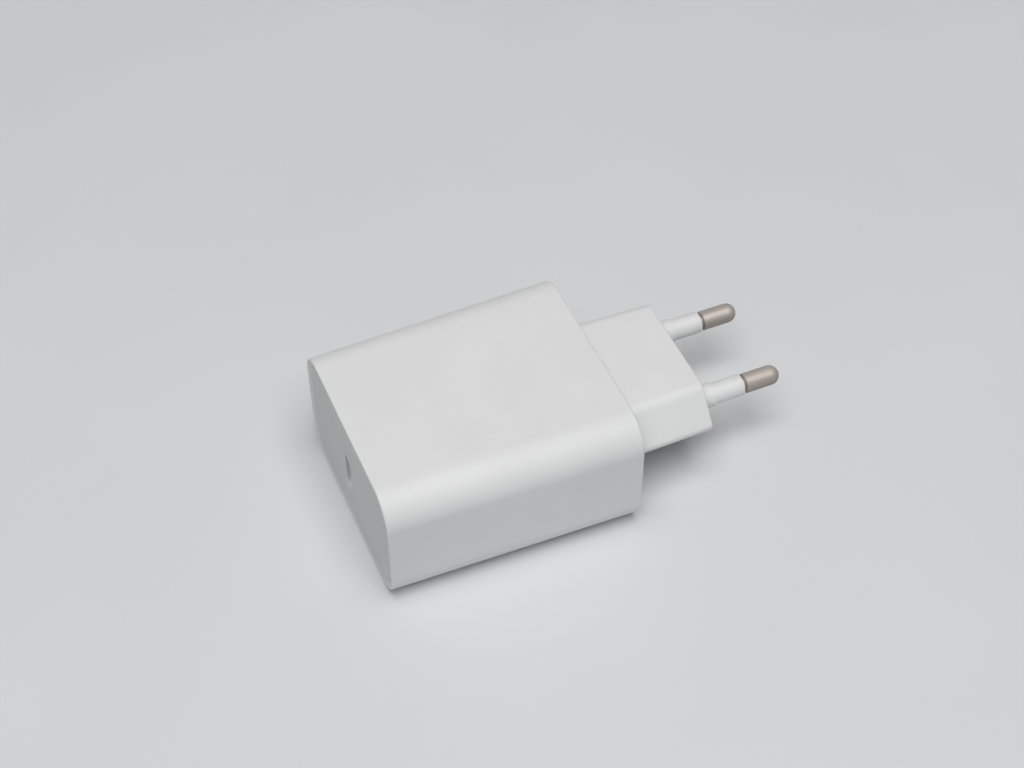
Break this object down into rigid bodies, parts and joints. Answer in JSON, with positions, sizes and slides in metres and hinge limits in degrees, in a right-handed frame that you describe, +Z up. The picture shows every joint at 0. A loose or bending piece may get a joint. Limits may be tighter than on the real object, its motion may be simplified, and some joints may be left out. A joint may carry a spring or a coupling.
{
  "type": "usb wall charger",
  "caption": "Compact mains charger: rounded rectangular white housing, port panel at one end, two-pin mains plug on a six-sided neck at the other.",
  "frame": {"origin": "on the resting plane, below the middle of the overall box", "axes": "+Y from the port face towards the pins, +Z up from the broad face it lies on, +X across the housing"},
  "size_m": [0.047, 0.087, 0.0272],
  "materials": {
    "housing": "moulded white polycarbonate, fine satin",
    "panel": "moulded white polycarbonate, satin",
    "sleeve": "moulded white insulating sleeve",
    "carrier": "moulded white polybutylene terephthalate",
    "nickel": "satin nickel plate on brass",
    "brass_strip": "bright brass spring strip",
    "circuit_board": "green solder mask on glass epoxy",
    "port_steel": "drawn stainless steel",
    "port_plastic": "black liquid crystal polymer",
    "gold_contact": "gold plate",
    "ferrite": "ground dark grey ferrite",
    "choke_ferrite": "green epoxy on ferrite",
    "bobbin_plastic": "black phenolic",
    "copper_wire": "enamelled copper wire",
    "yellow_tape": "yellow polyester tape",
    "tinned_wire": "tinned copper wire",
    "capacitor_can": "aluminium can in a shrink sleeve",
    "film_capacitor": "moulded yellow case",
    "blue_lacquer": "dipped blue lacquer",
    "fuse_case": "moulded brown case",
    "chip_epoxy": "black moulding compound",
    "spreader_aluminium": "rolled aluminium sheet",
    "silicone_pad": "soft grey silicone",
    "insulation_film": "milky polyester film"
  },
  "bodies": {
    "root": {"body_shell": "housing", "front_panel": "panel", "rear_cover": "housing", "pin_carrier": "carrier", "pin_left": "nickel", "pin_right": "nickel", "pin_sleeve_left": "sleeve", "pin_sleeve_right": "sleeve", "contact_strip_left": "brass_strip", "contact_strip_right": "brass_strip", "main_board": "circuit_board", "port_board": "circuit_board", "usb_shell": "port_steel", "usb_tongue": "port_plastic", "usb_contacts": "gold_contact", "transformer_core_lower": "ferrite", "transformer_core_upper": "ferrite", "transformer_bobbin": "bobbin_plastic", "transformer_winding": "copper_wire", "transformer_tape": "yellow_tape", "transformer_terminals": "tinned_wire", "bulk_capacitor_front": "capacitor_can", "bulk_capacitor_rear": "capacitor_can", "output_capacitor": "capacitor_can", "x_capacitor": "film_capacitor", "y_capacitor": "blue_lacquer", "varistor": "blue_lacquer", "fuse": "fuse_case", "choke_core": "choke_ferrite", "choke_winding_front": "copper_wire", "choke_winding_rear": "copper_wire", "choke_base": "bobbin_plastic", "bridge_rectifier": "chip_epoxy", "primary_switch": "chip_epoxy", "controller_ic": "chip_epoxy", "sync_rectifier": "chip_epoxy", "optocoupler": "chip_epoxy", "protocol_ic": "chip_epoxy", "heat_spreader": "spreader_aluminium", "thermal_pad": "silicone_pad", "insulation_sheet": "insulation_film"}
  },
  "joints": []
}
